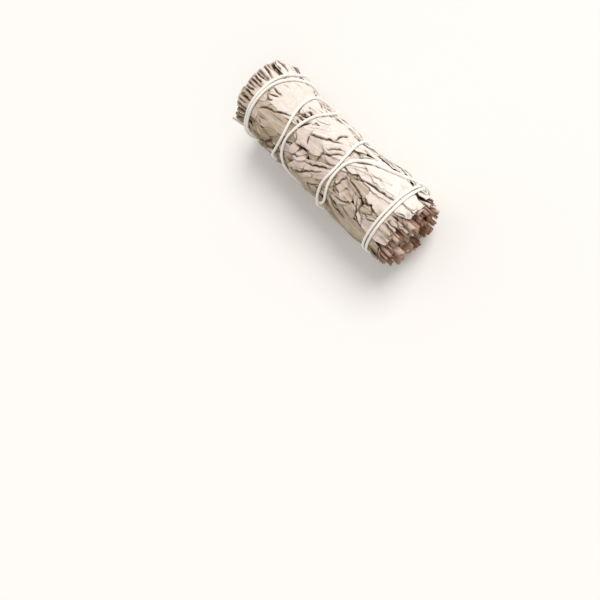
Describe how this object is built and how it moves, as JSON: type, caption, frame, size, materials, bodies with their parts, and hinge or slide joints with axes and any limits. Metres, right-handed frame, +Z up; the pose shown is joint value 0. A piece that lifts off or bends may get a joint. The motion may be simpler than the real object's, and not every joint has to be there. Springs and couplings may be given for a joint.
{
  "type": "sage bunch",
  "caption": "Tied roll of dried white sage lying on its side, with pressed overlapping leaves, cut woody stems at one end and a cotton string wound round it.",
  "frame": {"origin": "centre of the bunch's bounding box, at the surface that it lies on", "axes": "+X along the roll towards the cut stems, +Y across it, +Z up from the surface"},
  "size_m": [0.1038, 0.043, 0.0386],
  "materials": {
    "pressed_leaf": "matte, felted dry leaf",
    "stem_bark": "matte, fibrous",
    "cotton": "matte, twisted"
  },
  "bodies": {
    "root": {"leaf_bunch": "pressed_leaf", "stem_01": "stem_bark", "stem_02": "stem_bark", "stem_03": "stem_bark", "stem_04": "stem_bark", "stem_05": "stem_bark", "stem_06": "stem_bark", "stem_07": "stem_bark", "stem_08": "stem_bark", "stem_09": "stem_bark", "stem_10": "stem_bark", "stem_11": "stem_bark", "stem_12": "stem_bark", "stem_13": "stem_bark", "stem_14": "stem_bark", "stem_15": "stem_bark", "stem_16": "stem_bark", "stem_17": "stem_bark", "stem_18": "stem_bark", "stem_19": "stem_bark", "string": "cotton"}
  },
  "joints": []
}
